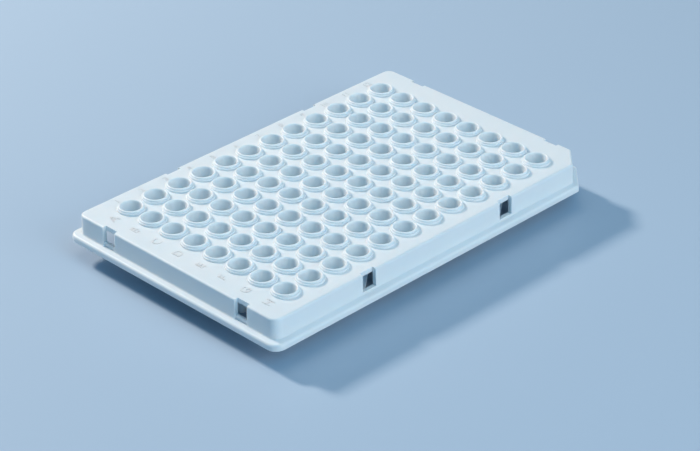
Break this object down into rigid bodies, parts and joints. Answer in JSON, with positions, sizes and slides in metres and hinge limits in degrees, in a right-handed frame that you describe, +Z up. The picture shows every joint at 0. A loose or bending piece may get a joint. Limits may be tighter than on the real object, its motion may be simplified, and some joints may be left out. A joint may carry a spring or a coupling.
{
  "type": "well plate",
  "caption": "White low-profile well plate with a grid of raised, round-rimmed conical wells on a flanged half-skirt with side windows and one cut corner.",
  "frame": {"origin": "centre of the footprint at the level of the well tips, which the plate stands on", "axes": "+X along the rows from column 1 to column 12, +Y from row H towards row A, +Z up out of the wells"},
  "size_m": [0.1278, 0.0854, 0.0151],
  "materials": {
    "white_plastic": "smooth moulded polypropylene, satin gloss"
  },
  "bodies": {
    "root": {"well_plate": "white_plastic"}
  },
  "joints": []
}
